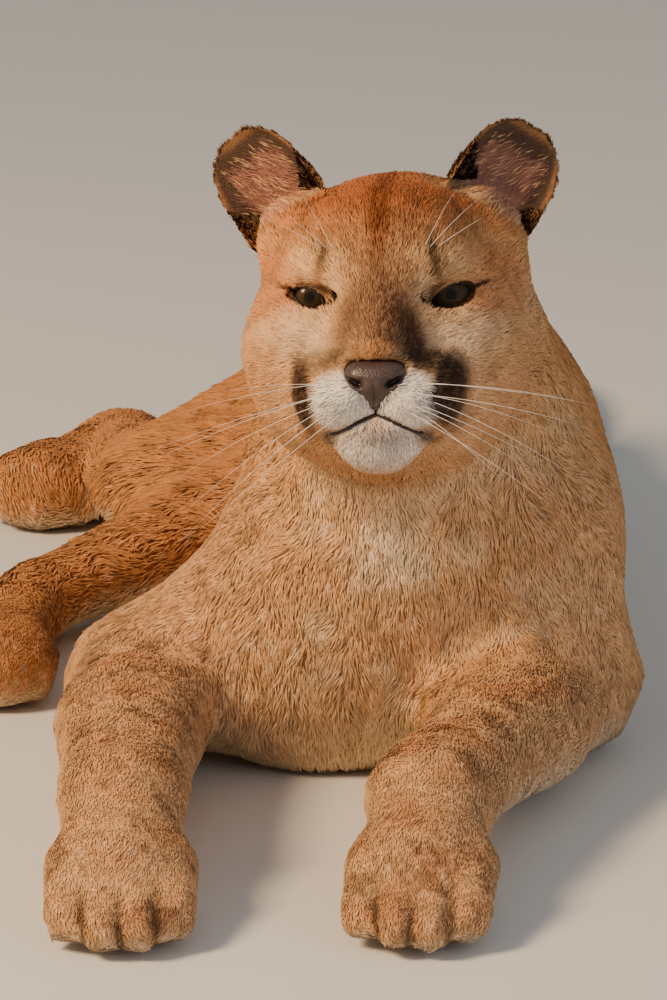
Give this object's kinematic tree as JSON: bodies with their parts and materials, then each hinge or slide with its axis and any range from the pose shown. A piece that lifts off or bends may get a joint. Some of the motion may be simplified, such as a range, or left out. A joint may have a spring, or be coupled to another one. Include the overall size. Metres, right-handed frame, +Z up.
{
  "type": "life-size model of a lying cougar",
  "caption": "Life-size still model of a young cougar lying on its chest, head raised, forelegs stretched ahead and hind legs out to one side.",
  "frame": {"origin": "middle of the bounding box's underside, on the floor the animal lies on", "axes": "+Z up; the animal faces -Y; its own left side is +X"},
  "size_m": [0.4498, 1.336, 0.3954],
  "materials": {
    "coat": "short tawny fur, paler below",
    "ear": "short dark fur outside, thin pale hair inside",
    "tail_end": "short blackish-brown fur",
    "nose_skin": "bare damp skin, finely pebbled",
    "eye": "wet clear cornea over a dark olive-brown iris"
  },
  "bodies": {
    "root": {"chest": "coat", "ear_left": "ear", "ear_right": "ear", "eye_left": "eye", "eye_right": "eye", "forearm_left": "coat", "forearm_right": "coat", "forepaw_left": "coat", "forepaw_right": "coat", "head": "coat", "hind_foot_left": "coat", "hind_foot_right": "coat", "hips": "coat", "loin": "coat", "neck": "coat", "nose": "nose_skin", "shank_left": "coat", "shank_right": "coat", "tail_middle": "coat", "tail_root": "coat", "tail_tip": "tail_end", "thigh_left": "coat", "thigh_right": "coat", "upper_arm_left": "coat", "upper_arm_right": "coat"}
  },
  "joints": []
}
